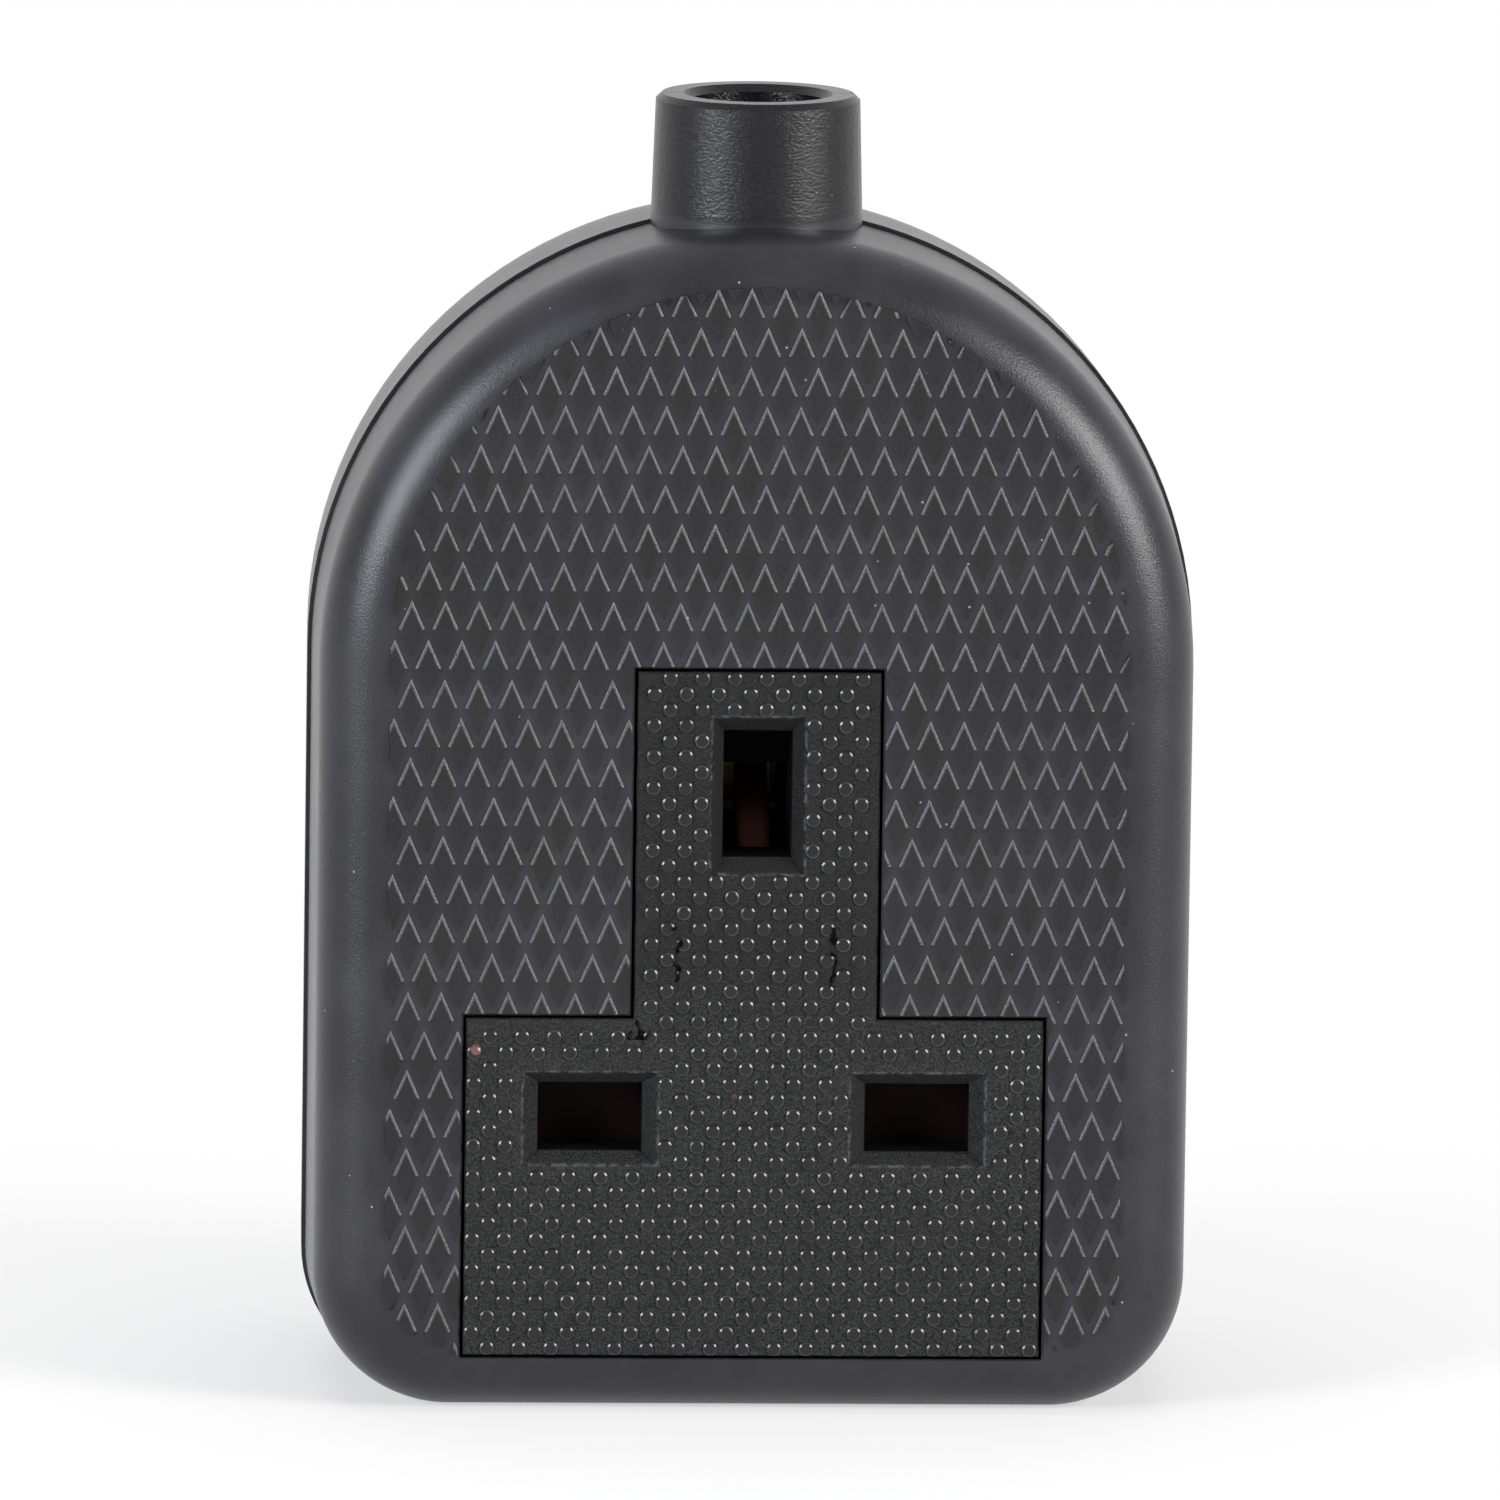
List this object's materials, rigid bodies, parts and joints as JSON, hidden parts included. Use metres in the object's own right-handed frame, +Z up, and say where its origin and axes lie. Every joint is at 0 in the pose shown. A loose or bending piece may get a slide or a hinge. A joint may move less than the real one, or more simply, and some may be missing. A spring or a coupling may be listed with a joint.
{
  "type": "inline socket connector",
  "caption": "Inline cord socket with a diamond-padded casing, a split cord collar, a T-shaped face with slots for rectangular pins, and a sprung safety shutter.",
  "frame": {"origin": "centre of the bounding box at its bottom: the middle of the flat end that the socket stands on", "axes": "+Z up to the cord entry, -Y out of the face that the plug goes into, +X to the right seen from the front, which is the line side"},
  "size_m": [0.0604, 0.04, 0.089],
  "materials": {
    "casing": "satin",
    "face": "satin",
    "inner_moulding": "matt",
    "shutter": "satin",
    "brass": "bright",
    "steel": "plated"
  },
  "bodies": {
    "socket": {"front_cover": "casing", "back_cover": "casing", "socket_face": "face", "contact_base": "inner_moulding", "shutter_spring": "steel", "cord_clamp": "inner_moulding", "line_contact": "brass", "neutral_contact": "brass", "earth_contact": "brass", "line_contact_clip": "steel", "neutral_contact_clip": "steel", "earth_contact_clip": "steel", "line_terminal": "brass", "neutral_terminal": "brass", "earth_terminal": "brass", "terminal_screws": "brass", "base_screws": "steel", "cord_clamp_screws": "steel", "casing_screws": "steel", "casing_inserts": "brass"},
    "shutter": {"shutter": "shutter"}
  },
  "joints": [
    {"name": "shutter_slide", "type": "slide", "parent": "socket", "child": "shutter", "axis": [0, 0, -1], "range_m": [0, 0.0052], "stiffness_N_per_m": 120, "springref_m": -0.003, "deforming": ["shutter_spring"]}
  ]
}
